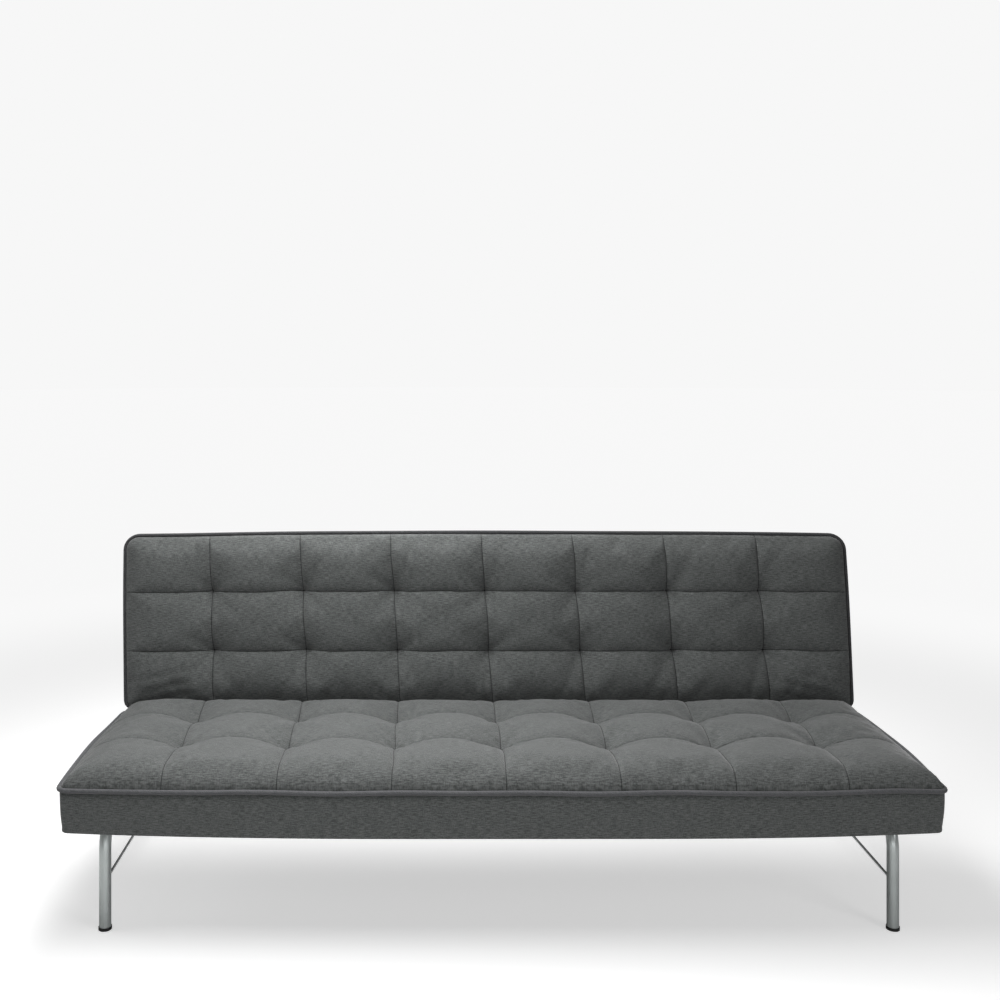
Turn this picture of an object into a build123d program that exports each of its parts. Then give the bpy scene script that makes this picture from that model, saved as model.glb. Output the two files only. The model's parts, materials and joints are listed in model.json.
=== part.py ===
from build123d import *
import os
from dataclasses import dataclass
from math import cos, radians, sin

# Armless futon sofa bed: two tufted pads on tube leg frames, joined by ratchet hinges.
# Millimetres, +Z up. The sitter faces -Y. Right is +X. The origin is on the floor,
# under the middle of the whole sofa, with its back upright.

# Pads
pad_width = 1800.0
seat_depth = 520.0
back_length = 426.0
seat_plane_height = 336.0
seat_band_height = 88.0
back_band_depth = 80.0
seat_corner = 22.0
back_low_corner = 20.0
back_high_corner = 38.0
crown = 25.0
crown_run = 50.0
cover_thickness = 3.0
lining_thickness = 1.5
piping_radius = 3.5
layer_clearance = 0.2

# Pad frames
edge_inset = 14.0
rail_thickness = 25.0
seat_rail_height = 40.0
back_rail_height = 30.0
end_rail_width = 70.0
cross_rail_width = 40.0
cross_rails = 2
slat_thickness = 10.0
slat_width = 60.0
slats = 12
slat_end_inset = 110.0

# Leg frames
tube_radius = 12.5
tube_wall = 1.5
leg_inset = 67.0
leg_setback = 120.0
leg_overhang = 120.0
bend_radius = 68.0
cap_radius = 14.0
cap_height = 6.0
plug_length = 18.0
plug_clearance = 0.1
stretcher_radius = 3.0
stretcher_height = 101.0
frame_bolt_radius = 4.0
frame_bolt_depth = 30.0
frame_bolt_head_radius = 7.0
frame_bolt_head = 5.0
frame_bolt_setbacks = (230.0, 450.0)
bolt_clearance = 0.1
rest_pad_length = 40.0
rest_pad_width = 30.0
rest_pad_offset = 100.0
rest_pad_skirt = 10.0
rest_clearance = 0.5

# Hinges
back_lean = 9.0
seat_gap = 16.0
back_gap = 12.0
pivot_drop = 12.0
end_inset = 14.0
plate_thickness = 4.0
plate_gap = 0.5
plate_eye_radius = 11.5
plate_length = 150.0
plate_height = 28.0
plate_low = 8.0
plate_overhang = 13.0
pin_radius = 5.0
pin_clearance = 0.05
pin_head_radius = 8.0
pin_head = 2.6
head_gap = 0.3
sector_radius = 26.0
sector_start = -94.0
sector_sweep = 100.0
notch_depth = 5.0
notch_turns = (0.0, 27.0, 54.0)
arm_width = 22.0
arm_start = 48.0
arm_length = 112.0
pawl_angle = -80.0
pawl_gap = 0.6
pawl_pivot_across = 4.0
pawl_pivot_drop = 54.0
pawl_boss_radius = 7.5
pawl_pin_radius = 3.0
pawl_nose_width = 5.0
spring_thickness = 0.8
spring_gap = 0.4
spring_foot = 16.0
hinge_bolt_radius = 3.0
hinge_bolt_head_radius = 5.0
hinge_bolt_head = 3.0
hinge_bolt_depth = 24.0
hinge_bolt_pitch = 38.0
slot_clearance = 5.0
slot_top_clearance = 6.0
seat_slot_reach = 14.0
back_slot_reach = 42.0

# Sizes that follow from those above
lean_sin = sin(radians(back_lean))
lean_cos = cos(radians(back_lean))
leg_pitch = seat_depth + leg_overhang
rest_pad_setback = seat_depth + rest_pad_offset
leg_reach = leg_setback + leg_pitch + cap_radius
back_reach = (
    seat_depth + seat_gap + (back_gap + back_length) * lean_sin + (back_band_depth - pivot_drop) * lean_cos
)
overall_depth = max(leg_reach, back_reach)
front_y = -overall_depth / 2
seat_rear_y = front_y + seat_depth
pivot_y = seat_rear_y + seat_gap
pivot_z = seat_plane_height - pivot_drop
seat_bottom_z = seat_plane_height - seat_band_height
run_z = seat_bottom_z - tube_radius
front_leg_y = front_y + leg_setback
rear_leg_y = front_leg_y + leg_pitch
half_width = pad_width / 2
leg_x = half_width - leg_inset
back_rail_face = half_width - end_inset
seat_rail_face = back_rail_face - plate_gap - plate_thickness
seat_rail_middle = seat_rail_face - end_rail_width / 2

# Side views, seen along X: across and up for the seat, up and outward for the back
side_view = Plane(origin=(0, 0, 0), x_dir=(0, 1, 0), z_dir=(1, 0, 0))
seat_side = Plane(origin=(0, pivot_y, pivot_z), x_dir=(0, 1, 0), z_dir=(1, 0, 0))
back_side = Plane(origin=(0, pivot_y, pivot_z), x_dir=(0, lean_sin, lean_cos), z_dir=(1, 0, 0))


@dataclass
class Pad:
    """A padded panel: its plane lies at the piping, with z out of the soft face."""

    name: str
    plane: Plane
    length: float
    band: float
    rail_height: float
    rail_face: float
    low_corner: float
    high_corner: float

    @property
    def rail_level(self):
        """Underside of the rails, on the lining."""
        return -self.band + lining_thickness

    @property
    def slat_level(self):
        """Underside of the slats, on the rails."""
        return self.rail_level + self.rail_height

    @property
    def foam_level(self):
        """Underside of the foam, on the slats."""
        return self.slat_level + slat_thickness


seat = Pad(
    name="seat",
    plane=Plane(
        origin=(0, front_y + seat_depth / 2, seat_plane_height),
        x_dir=(1, 0, 0),
        z_dir=(0, 0, 1),
    ),
    length=seat_depth,
    band=seat_band_height,
    rail_height=seat_rail_height,
    rail_face=seat_rail_face,
    low_corner=seat_corner,
    high_corner=seat_corner,
)
back_middle = back_gap + back_length / 2
back = Pad(
    name="back",
    plane=Plane(
        origin=(
            0,
            pivot_y + back_middle * lean_sin - pivot_drop * lean_cos,
            pivot_z + back_middle * lean_cos + pivot_drop * lean_sin,
        ),
        x_dir=(1, 0, 0),
        z_dir=(0, -lean_cos, lean_sin),
    ),
    length=back_length,
    band=back_band_depth,
    rail_height=back_rail_height,
    rail_face=back_rail_face,
    low_corner=back_low_corner,
    high_corner=back_high_corner,
)

os.makedirs("parts", exist_ok=True)


def save(part, name):
    """Label one piece and write it."""
    part.label = name
    export_step(part, f"parts/{name}.step")


def save_pair(part, name):
    """Write a right-hand piece and its mirror image on the left."""
    save(part, f"{name}_right")
    save(mirror(part, about=Plane.YZ), f"{name}_left")


def draw_outline(pad, level, inset):
    """Sketch a pad's rounded outline, drawn in by the inset."""
    with BuildSketch(pad.plane.offset(level)) as outline:
        Rectangle(pad_width - 2 * inset, pad.length - 2 * inset)
        low_corners = outline.vertices().group_by(Axis.Y)[0]
        fillet(low_corners, max(pad.low_corner - inset, piping_radius))
        high_corners = outline.vertices().group_by(Axis.Y)[-1]
        fillet(high_corners, max(pad.high_corner - inset, piping_radius))
    return outline.sketch


def draw_hinge_slots(pad, level, reach):
    """Sketch the two openings that the hinges need in a pad's hinged edge."""
    inner = seat_rail_face - slot_clearance
    outer = back_rail_face + plate_thickness + slot_clearance
    hinged_edge = pad.length / 2 if pad is seat else -pad.length / 2
    with BuildSketch(pad.plane.offset(level)) as slots:
        with Locations(((inner + outer) / 2, hinged_edge), (-(inner + outer) / 2, hinged_edge)):
            Rectangle(outer - inner, 2 * reach)
    return slots.sketch


def crown_outlines(pad, inset):
    """Outlines of a pad's shallow raised face, under the piping and at the crown."""
    low = draw_outline(pad, -piping_radius, 2 * piping_radius + inset)
    high = draw_outline(pad, crown - inset, 2 * piping_radius + crown_run)
    return [low.face(), high.face()]


def make_cover(pad, name):
    """Soft face cover, a thin crowned skin over the foam."""
    with BuildPart() as cover:
        loft(crown_outlines(pad, layer_clearance))
        loft(crown_outlines(pad, cover_thickness), mode=Mode.SUBTRACT)
    save(cover.part, name)


def make_foam(pad, reach):
    """Foam block between slats and cover, cut back where the hinges pass."""
    with BuildPart() as foam:
        block = draw_outline(pad, pad.foam_level, cover_thickness + layer_clearance)
        extrude(block, amount=-piping_radius - pad.foam_level)
        loft(crown_outlines(pad, cover_thickness + layer_clearance))
        slots = draw_hinge_slots(pad, pad.foam_level, reach)
        extrude(slots, amount=-slot_top_clearance - pad.foam_level, mode=Mode.SUBTRACT)
    save(foam.part, f"{pad.name}_foam")


def make_band(pad, reach):
    """Cloth band round the pad's four edges, slit for the hinges."""
    with BuildPart() as band:
        extrude(draw_outline(pad, -pad.band, 0), amount=pad.band - piping_radius)
        inner = draw_outline(pad, -pad.band, cover_thickness)
        extrude(inner, amount=pad.band - piping_radius, mode=Mode.SUBTRACT)
        slots = draw_hinge_slots(pad, -pad.band, reach)
        extrude(slots, amount=pad.band - slot_top_clearance, mode=Mode.SUBTRACT)
    save(band.part, f"{pad.name}_band")


def make_piping(pad):
    """Round piping cord along the top edge of the band."""
    route = draw_outline(pad, 0, piping_radius).wire()
    with BuildPart() as piping:
        with BuildSketch(Plane(origin=route @ 0, z_dir=route % 0)):
            Circle(piping_radius)
        sweep(path=route)
    save(piping.part, f"{pad.name}_piping")


def make_lining(pad, name):
    """Thin woven lining that closes the hard face of a pad."""
    with BuildPart() as lining:
        sheet = draw_outline(pad, -pad.band, cover_thickness + layer_clearance)
        extrude(sheet, amount=lining_thickness)
        if pad is seat:
            with BuildSketch(Plane.XY.offset(seat_bottom_z)):
                with Locations(*frame_bolt_points(), *frame_bolt_points(-1)):
                    Circle(frame_bolt_radius + bolt_clearance)
            extrude(amount=lining_thickness, mode=Mode.SUBTRACT)
    save(lining.part, name)


def make_bars(pad, name, level, thickness, centres, width, length):
    """A bar, or a group of equal bars, lying in a pad."""
    with BuildPart() as bars:
        with BuildSketch(pad.plane.offset(level)):
            with Locations(*centres):
                Rectangle(width, length)
        extrude(amount=thickness)
    save(bars.part, name)


def make_edge_rails(pad, low_name, high_name):
    """The two long rails of a pad, between its end rails."""
    length = 2 * (pad.rail_face - end_rail_width)
    offset_y = pad.length / 2 - edge_inset - rail_thickness / 2
    for name, y in ((low_name, -offset_y), (high_name, offset_y)):
        make_bars(pad, name, pad.rail_level, pad.rail_height, [(0, y)], length, rail_thickness)


def make_cross_rails(pad):
    """Short rails that brace the two long rails."""
    spacing = 2 * (pad.rail_face - end_rail_width) / (cross_rails + 1)
    centres = [((i - (cross_rails - 1) / 2) * spacing, 0) for i in range(cross_rails)]
    length = pad.length - 2 * (edge_inset + rail_thickness)
    make_bars(
        pad, f"{pad.name}_cross_rails", pad.rail_level, pad.rail_height, centres, cross_rail_width, length
    )


def make_slats(pad):
    """Slats that bridge the two long rails and carry the foam."""
    span = pad_width - 2 * slat_end_inset
    centres = [(-span / 2 + i * span / (slats - 1), 0) for i in range(slats)]
    length = pad.length - 2 * edge_inset
    make_bars(pad, f"{pad.name}_slats", pad.slat_level, slat_thickness, centres, slat_width, length)


def frame_bolt_points(side=1):
    """Where one leg frame is bolted up into the seat's end rail, in plan."""
    return [(side * leg_x, front_y + setback) for setback in frame_bolt_setbacks]


def seat_bolt_points():
    """Hinge bolts of the seat plate, in the seat's side view."""
    middle = -pivot_z + seat_bottom_z + plate_low + plate_height / 2
    return [(-plate_length + plate_height / 2 + i * hinge_bolt_pitch, middle) for i in range(3)]


def back_bolt_points():
    """Hinge bolts of the back arm, in the back's side view."""
    first = arm_start + arm_width / 2
    return [(first + i * hinge_bolt_pitch, arm_middle) for i in range(3)]


arm_middle = pivot_drop + back.rail_level + back_rail_height / 2


def make_seat_end_rails():
    """End rails of the seat, drilled for the hinges and for the leg frames."""
    with BuildPart() as rail:
        with BuildSketch(seat.plane.offset(seat.rail_level)):
            with Locations((seat_rail_middle, 0)):
                Rectangle(end_rail_width, seat_depth - 2 * edge_inset)
        extrude(amount=seat_rail_height)
        with BuildSketch(seat_side.offset(seat_rail_face)):
            with Locations(*seat_bolt_points()):
                Circle(hinge_bolt_radius + bolt_clearance)
        extrude(amount=-hinge_bolt_depth - bolt_clearance, mode=Mode.SUBTRACT)
        with BuildSketch(Plane.XY.offset(seat_bottom_z)):
            with Locations(*frame_bolt_points()):
                Circle(frame_bolt_radius + bolt_clearance)
        extrude(amount=frame_bolt_depth + bolt_clearance, mode=Mode.SUBTRACT)
    save_pair(rail.part, "seat_end_rail")


def make_back_end_rails():
    """End rails of the back, drilled for the hinge arms."""
    with BuildPart() as rail:
        with BuildSketch(back.plane.offset(back.rail_level)):
            with Locations((back_rail_face - end_rail_width / 2, 0)):
                Rectangle(end_rail_width, back_length - 2 * edge_inset)
        extrude(amount=back_rail_height)
        with BuildSketch(back_side.offset(back_rail_face)):
            with Locations(*back_bolt_points()):
                Circle(hinge_bolt_radius + bolt_clearance)
        extrude(amount=-hinge_bolt_depth - bolt_clearance, mode=Mode.SUBTRACT)
    save_pair(rail.part, "back_end_rail")


def make_leg_frames():
    """Bent tube with a front leg, a run under the seat and a rear leg."""
    with BuildPart() as frame:
        with BuildLine(side_view.offset(leg_x)) as route:
            FilletPolyline(
                (front_leg_y, cap_height),
                (front_leg_y, run_z),
                (rear_leg_y, run_z),
                (rear_leg_y, cap_height),
                radius=bend_radius,
            )
        with BuildSketch(Plane(origin=route.line @ 0, z_dir=route.line % 0)):
            Circle(tube_radius)
            Circle(tube_radius - tube_wall, mode=Mode.SUBTRACT)
        sweep()
        with BuildSketch(Plane.XY.offset(run_z - 2 * tube_radius)):
            with Locations(*frame_bolt_points()):
                Circle(frame_bolt_radius + bolt_clearance)
        extrude(amount=4 * tube_radius, mode=Mode.SUBTRACT)
    save_pair(frame.part, "leg_frame")


def make_foot_caps():
    """Plastic feet: a disc on the floor with a plug up the tube."""
    for place, y in (("front", front_leg_y), ("rear", rear_leg_y)):
        with BuildPart() as cap:
            with BuildSketch(Plane.XY):
                with Locations((leg_x, y)):
                    Circle(cap_radius)
            extrude(amount=cap_height)
            with BuildSketch(Plane.XY.offset(cap_height)):
                with Locations((leg_x, y)):
                    Circle(tube_radius - tube_wall - plug_clearance)
            extrude(amount=plug_length)
        save_pair(cap.part, f"foot_cap_{place}")


def make_stretchers():
    """Thin rod from the front leg to the rear leg of each frame."""
    with BuildPart() as rod:
        with BuildSketch(Plane.XZ.offset(-front_leg_y - tube_radius)):
            with Locations((leg_x, stretcher_height)):
                Circle(stretcher_radius)
        extrude(amount=-leg_pitch + 2 * tube_radius)
    save_pair(rod.part, "stretcher_rod")


def make_frame_bolts():
    """Bolts up through each leg frame into the seat's end rail."""
    head_top = run_z - tube_radius
    with BuildPart() as bolts:
        with BuildSketch(Plane.XY.offset(head_top)):
            with Locations(*frame_bolt_points()):
                Circle(frame_bolt_head_radius)
        extrude(amount=-frame_bolt_head)
        with BuildSketch(Plane.XY.offset(head_top)):
            with Locations(*frame_bolt_points()):
                Circle(frame_bolt_radius)
        extrude(amount=seat_bottom_z + frame_bolt_depth - head_top)
    save_pair(bolts.part, "frame_bolts")


def make_rest_pads():
    """Rubber saddles on the leg frames that carry the back when it lies flat."""
    pad_top = seat_plane_height - back_band_depth - rest_clearance
    pad_low = seat_bottom_z - rest_pad_skirt
    with BuildPart() as pad:
        with BuildSketch(Plane.XY.offset(pad_low)):
            with Locations((leg_x, front_y + rest_pad_setback)):
                Rectangle(rest_pad_width, rest_pad_length)
        extrude(amount=pad_top - pad_low)
        with BuildSketch(Plane.XZ.offset(-front_y - rest_pad_setback)):
            with Locations((leg_x, run_z)):
                Circle(tube_radius)
        extrude(amount=rest_pad_length, both=True, mode=Mode.SUBTRACT)
    save_pair(pad.part, "rest_pad")


def make_seat_plate():
    """Fixed hinge plate, bolted to the seat's end rail, with the eye for the pivot."""
    low = seat_bottom_z + plate_low - pivot_z
    with BuildPart() as plate:
        with BuildSketch(seat_side.offset(seat_rail_face)):
            with Locations(((plate_overhang - plate_length) / 2, low + plate_height / 2)):
                Rectangle(plate_length + plate_overhang, plate_height)
            with Locations((0, low / 2)):
                Rectangle(2 * plate_eye_radius, -low)
            Circle(plate_eye_radius)
            Circle(pin_radius + pin_clearance, mode=Mode.SUBTRACT)
            with Locations(*seat_bolt_points()):
                Circle(hinge_bolt_radius + bolt_clearance, mode=Mode.SUBTRACT)
            with Locations((pawl_pivot_across, -pawl_pivot_drop)):
                Circle(pawl_pin_radius + pin_clearance, mode=Mode.SUBTRACT)
        extrude(amount=plate_thickness)
    save_pair(plate.part, "hinge_seat_plate")


def make_back_arm():
    """Turning hinge arm, bolted to the back's end rail, with its notched sector."""
    arm_end = arm_start + arm_length
    with BuildPart() as arm:
        with BuildSketch(back_side.offset(back_rail_face)):
            with BuildLine():
                Polyline(
                    (0, plate_eye_radius),
                    (arm_start, arm_middle + arm_width / 2),
                    (arm_end, arm_middle + arm_width / 2),
                    (arm_end, arm_middle - arm_width / 2),
                    (arm_start, arm_middle - arm_width / 2),
                    (0, -plate_eye_radius),
                    close=True,
                )
            make_face()
            Circle(plate_eye_radius)
            with Locations(*back_bolt_points()):
                Circle(hinge_bolt_radius + bolt_clearance, mode=Mode.SUBTRACT)
        extrude(amount=plate_thickness)
        with BuildSketch(seat_side.offset(back_rail_face)):
            with BuildLine():
                rim = CenterArc((0, 0), sector_radius, sector_start, sector_sweep)
                Polyline(rim @ 1, (0, 0), rim @ 0)
            make_face()
            for turn in notch_turns:
                with PolarLocations(sector_radius, 1, start_angle=pawl_angle + turn):
                    RegularPolygon(notch_depth, 4, mode=Mode.SUBTRACT)
        extrude(amount=plate_thickness)
        with BuildSketch(seat_side.offset(back_rail_face)):
            Circle(pin_radius + pin_clearance)
        extrude(amount=plate_thickness, mode=Mode.SUBTRACT)
    save_pair(arm.part, "hinge_back_arm")


def make_pivot_pin():
    """Riveted pin on which the back arm turns."""
    inner = seat_rail_face - head_gap
    outer = back_rail_face + plate_thickness + head_gap
    with BuildPart() as pin:
        with BuildSketch(seat_side.offset(inner)):
            Circle(pin_radius)
        extrude(amount=outer - inner)
        with BuildSketch(seat_side.offset(inner)):
            Circle(pin_head_radius)
        extrude(amount=-pin_head)
        with BuildSketch(seat_side.offset(outer)):
            Circle(pin_head_radius)
        extrude(amount=pin_head)
    save_pair(pin.part, "hinge_pin")


def pawl_nose():
    """Middle of the pawl's nose in the seat's side view, just outside the sector's rim."""
    radius = sector_radius + pawl_gap
    return radius * cos(radians(pawl_angle)), radius * sin(radians(pawl_angle))


def make_pawl():
    """Pawl that holds the sector, on its own pin under the pivot."""
    nose_x, nose_y = pawl_nose()
    boss = (pawl_pivot_across, -pawl_pivot_drop)
    with BuildPart() as pawl:
        with BuildSketch(seat_side.offset(back_rail_face)):
            with BuildLine():
                Polyline(
                    (nose_x, nose_y),
                    (nose_x + pawl_nose_width / 2, nose_y - pawl_nose_width / 2),
                    (boss[0] + pawl_boss_radius, boss[1]),
                    (boss[0] - pawl_boss_radius, boss[1]),
                    (nose_x - pawl_nose_width / 2, nose_y - pawl_nose_width / 2),
                    close=True,
                )
            make_face()
            with Locations(boss):
                Circle(pawl_boss_radius)
                Circle(pawl_pin_radius + pin_clearance, mode=Mode.SUBTRACT)
        extrude(amount=plate_thickness)
    save_pair(pawl.part, "hinge_pawl")


def make_pawl_pin():
    """Pin that carries the pawl, fixed in the seat plate."""
    inner = seat_rail_face
    outer = back_rail_face + plate_thickness + head_gap
    with BuildPart() as pin:
        with BuildSketch(seat_side.offset(inner)):
            with Locations((pawl_pivot_across, -pawl_pivot_drop)):
                Circle(pawl_pin_radius)
        extrude(amount=outer - inner)
        with BuildSketch(seat_side.offset(outer)):
            with Locations((pawl_pivot_across, -pawl_pivot_drop)):
                Circle(hinge_bolt_head_radius)
        extrude(amount=pin_head)
    save_pair(pin.part, "hinge_pawl_pin")


def make_pawl_spring():
    """Leaf spring on the seat plate that leans on the front flank of the pawl."""
    flank = pawl_pivot_across - pawl_boss_radius - spring_gap - spring_thickness
    foot_level = -pawl_pivot_drop - pawl_boss_radius
    with BuildPart() as spring:
        with BuildSketch(seat_side.offset(seat_rail_face + plate_thickness)):
            with Locations((flank + spring_thickness / 2, foot_level + spring_foot / 2)):
                Rectangle(spring_thickness, spring_foot)
            with Locations((flank - spring_foot / 2, foot_level + spring_thickness / 2)):
                Rectangle(spring_foot, spring_thickness)
        extrude(amount=plate_gap + plate_thickness)
    save_pair(spring.part, "hinge_pawl_spring")


def make_hinge_bolts(view, points, face, name):
    """Bolts through a hinge plate into its end rail."""
    with BuildPart() as bolts:
        with BuildSketch(view.offset(face)):
            with Locations(*points):
                Circle(hinge_bolt_head_radius)
        extrude(amount=hinge_bolt_head)
        with BuildSketch(view.offset(face)):
            with Locations(*points):
                Circle(hinge_bolt_radius)
        extrude(amount=-plate_thickness - hinge_bolt_depth)
    save_pair(bolts.part, name)


# Leg frames
make_leg_frames()
make_foot_caps()
make_stretchers()
make_frame_bolts()
make_rest_pads()

# Seat pad
make_edge_rails(seat, "seat_front_rail", "seat_rear_rail")
make_seat_end_rails()
make_cross_rails(seat)
make_slats(seat)
make_foam(seat, seat_slot_reach)
make_cover(seat, "seat_top_cover")
make_band(seat, seat_slot_reach)
make_piping(seat)
make_lining(seat, "seat_dust_cover")

# Back pad
make_edge_rails(back, "back_bottom_rail", "back_top_rail")
make_back_end_rails()
make_cross_rails(back)
make_slats(back)
make_foam(back, back_slot_reach)
make_cover(back, "back_front_cover")
make_band(back, back_slot_reach)
make_piping(back)
make_lining(back, "back_rear_cover")

# Hinges
make_seat_plate()
make_back_arm()
make_pivot_pin()
make_pawl()
make_pawl_pin()
make_pawl_spring()
make_hinge_bolts(seat_side, seat_bolt_points(), seat_rail_face + plate_thickness, "hinge_seat_bolts")
make_hinge_bolts(back_side, back_bolt_points(), back_rail_face + plate_thickness, "hinge_back_bolts")
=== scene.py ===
import json
import math
import random
from dataclasses import dataclass

import bpy
import numpy as np
from bpy.props import FloatProperty, FloatVectorProperty, IntProperty, PointerProperty
from mathutils import Matrix, Vector


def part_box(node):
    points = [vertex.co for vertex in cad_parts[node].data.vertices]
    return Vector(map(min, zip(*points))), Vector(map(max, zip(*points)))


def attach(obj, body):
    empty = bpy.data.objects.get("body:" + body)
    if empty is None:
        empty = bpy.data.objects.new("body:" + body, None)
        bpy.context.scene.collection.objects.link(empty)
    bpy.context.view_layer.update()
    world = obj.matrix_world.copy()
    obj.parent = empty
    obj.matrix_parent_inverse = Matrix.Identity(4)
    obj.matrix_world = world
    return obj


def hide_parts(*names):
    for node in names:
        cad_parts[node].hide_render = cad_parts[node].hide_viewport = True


bl_info = {
    "name": "Tufted futon sofa bed",
    "version": (1, 0, 0),
    "blender": (4, 5, 0),
    "location": "View3D > Sidebar > Sofa bed",
    "description": "Upholstery, metalwork and studio for a tufted futon sofa bed",
    "category": "Object",
}

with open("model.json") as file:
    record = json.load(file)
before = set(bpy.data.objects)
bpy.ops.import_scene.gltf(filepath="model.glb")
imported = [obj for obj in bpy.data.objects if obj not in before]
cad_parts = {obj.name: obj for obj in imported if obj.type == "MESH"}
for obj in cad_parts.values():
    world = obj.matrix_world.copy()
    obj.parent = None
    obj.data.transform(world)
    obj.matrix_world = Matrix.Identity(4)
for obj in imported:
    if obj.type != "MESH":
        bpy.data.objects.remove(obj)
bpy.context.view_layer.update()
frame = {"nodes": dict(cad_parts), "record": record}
RECLINE = next(j for j in frame["record"]["behaviour"]["joints"] if j["name"] == "back_recline")
BACK_LEAN = math.radians(90.0 - max(RECLINE["range_deg"]))
PIPING_RADIUS = (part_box("seat_piping")[1][2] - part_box("seat_piping")[0][2]) / 2

# Rows of cells on each pad
ROWS = 3

# Mesh of a pad: its outer line in from the outline, extra lines beside each seam, and the coarse copy's step
FACE_INSET = 0.0055
SEAM_LINES = (0.0015, 0.004, 0.008)
COARSE_STEP = 0.0165

# Cloth step: width held at the edge, crease that holds it fully, its frames, and the most that it may move
HOLD_WIDTH = 0.02
HOLD_CREASE = 0.0045
SWELL_FRAMES = 20
SWELL_LIMIT = 0.008

# Seams: a wide and a narrow crease (depth, reach), the pit at each tuft, and the fade towards the edge
WIDE_CREASE = (0.0032, 0.011)
NARROW_CREASE = (0.0016, 0.0022)
TUFT_PIT = (0.0065, 0.011)
CREASE_FADE = 0.03

# Gathers round each tuft: height, where they are highest, the sharpness of the pull, and what neighbours add
GATHER_HEIGHT = 0.0011
GATHER_REACH = 0.016
PULL_POWER = 2.6
PULL_SHARED = 0.3

# Wandering of cloth: wavelength and amount
OUTLINE_WANDER = (0.42, 0.0012)
FACE_WANDER = (0.21, 0.0012)
SEAM_WANDER = (0.16, 0.0011)
BAND_WANDER = (0.19, 0.0011)
PIPING_WANDER = (0.27, 0.0016)
LINING_WANDER = (0.33, 0.0007)

# Spacing of points on a piping or a row of staples, and the sides of the piping's cord
OUTLINE_STEP = 0.009
CORD_SIDES = 10

# Stitches, cells and the lining's bonds in metres; layers of yarn colour: scale, detail, roughness, weight
STITCH_LENGTH = 0.0045
CELL_PITCH = (0.231, 0.160)
BOND_PITCH = 0.003
YARN_LAYERS = (
    ((75.0, 640.0, 1.0), 3.0, 0.6, 0.50),
    ((640.0, 130.0, 1.0), 3.0, 0.6, 0.20),
    ((420.0, 560.0, 1.0), 2.0, 0.6, 0.24),
    ((26.0, 34.0, 1.0), 3.0, 0.55, 0.05),
)


# ---------------------------------------------------------------- sizes and colours


def length_setting(name, description, default):
    """A setting in metres."""
    return FloatProperty(name=name, description=description, default=default, unit="LENGTH")


def colour_setting(name, description, default):
    """A setting that holds a linear colour."""
    return FloatVectorProperty(name=name, description=description, default=default, subtype="COLOR")


class TuftingSizes(bpy.types.PropertyGroup):
    """How both pads are sewn and tufted."""

    columns: IntProperty(name="Columns", description="Cells along the sofa", default=8, min=2)
    seat_end_column: length_setting("Seat end column", "Width of the seat's two outer cells", 0.207)
    back_end_column: length_setting("Back end column", "Width of the back's two outer cells", 0.216)
    seat_front_row: length_setting("Seat front row", "Depth of the seat's front cells", 0.200)
    seat_middle_row: length_setting("Seat middle row", "Depth of the seat's middle cells", 0.172)
    seat_crown: length_setting("Seat crown", "Height of the seat above its piping", 0.043)
    back_crown: length_setting("Back crown", "Height of the back's face above its piping", 0.027)
    seat_tuft_depth: length_setting("Seat tuft depth", "Depth of each seat tuft", 0.026)
    back_tuft_depth: length_setting("Back tuft depth", "Depth of each back tuft", 0.027)
    grid_step: length_setting("Cloth step", "Spacing of the cloth's mesh between seams", 0.0075)


class FabricLook(bpy.types.PropertyGroup):
    """Colours of the cloth, piping and lining."""

    weave_dark: colour_setting("Weave dark", "Dark yarn of the upholstery", (0.046, 0.049, 0.048))
    weave_light: colour_setting("Weave light", "Light yarn of the upholstery", (0.138, 0.145, 0.142))
    piping: colour_setting("Piping", "Bias cloth of the piping", (0.080, 0.081, 0.086))
    lining: colour_setting("Lining", "Non-woven lining", (0.018, 0.018, 0.019))
    thread: length_setting("Thread", "Pitch of the woven threads", 0.0009)


class MetalLook(bpy.types.PropertyGroup):
    """Colours of the metalwork."""

    tube: colour_setting("Tube", "Satin paint of the leg tubes", (0.58, 0.62, 0.61))
    hinge: colour_setting("Hinge", "Black paint of the hinges", (0.022, 0.022, 0.024))


class StudioLook(bpy.types.PropertyGroup):
    """Camera, floor and light."""

    camera_side: length_setting("Camera side", "Camera's distance from the middle", -0.146)
    camera_distance: length_setting("Camera distance", "Camera to the seat's front", 2.30)
    camera_height: length_setting("Camera height", "Camera above the floor", 1.2146)
    field: FloatProperty(
        name="Lens ratio", description="Focal length over the sensor's width", default=1.144, min=0.1
    )
    shift_x: FloatProperty(name="Shift across", description="Lens shift along the frame", default=0.070)
    shift_y: FloatProperty(name="Shift up", description="Lens shift up the frame", default=-0.1455)
    floor: colour_setting("Floor", "Colour of the floor", (0.80, 0.80, 0.80))
    backdrop: colour_setting("Backdrop", "Colour seen behind the sofa", (0.93, 0.93, 0.93))
    ambient: FloatProperty(
        name="Ambient", description="Strength of the even light from all round", default=0.15, min=0.0
    )
    floor_glow: FloatProperty(
        name="Floor glow", description="How far the floor is lifted towards white", default=0.52, min=0.0
    )


# ---------------------------------------------------------------- pads in their own frames


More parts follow.
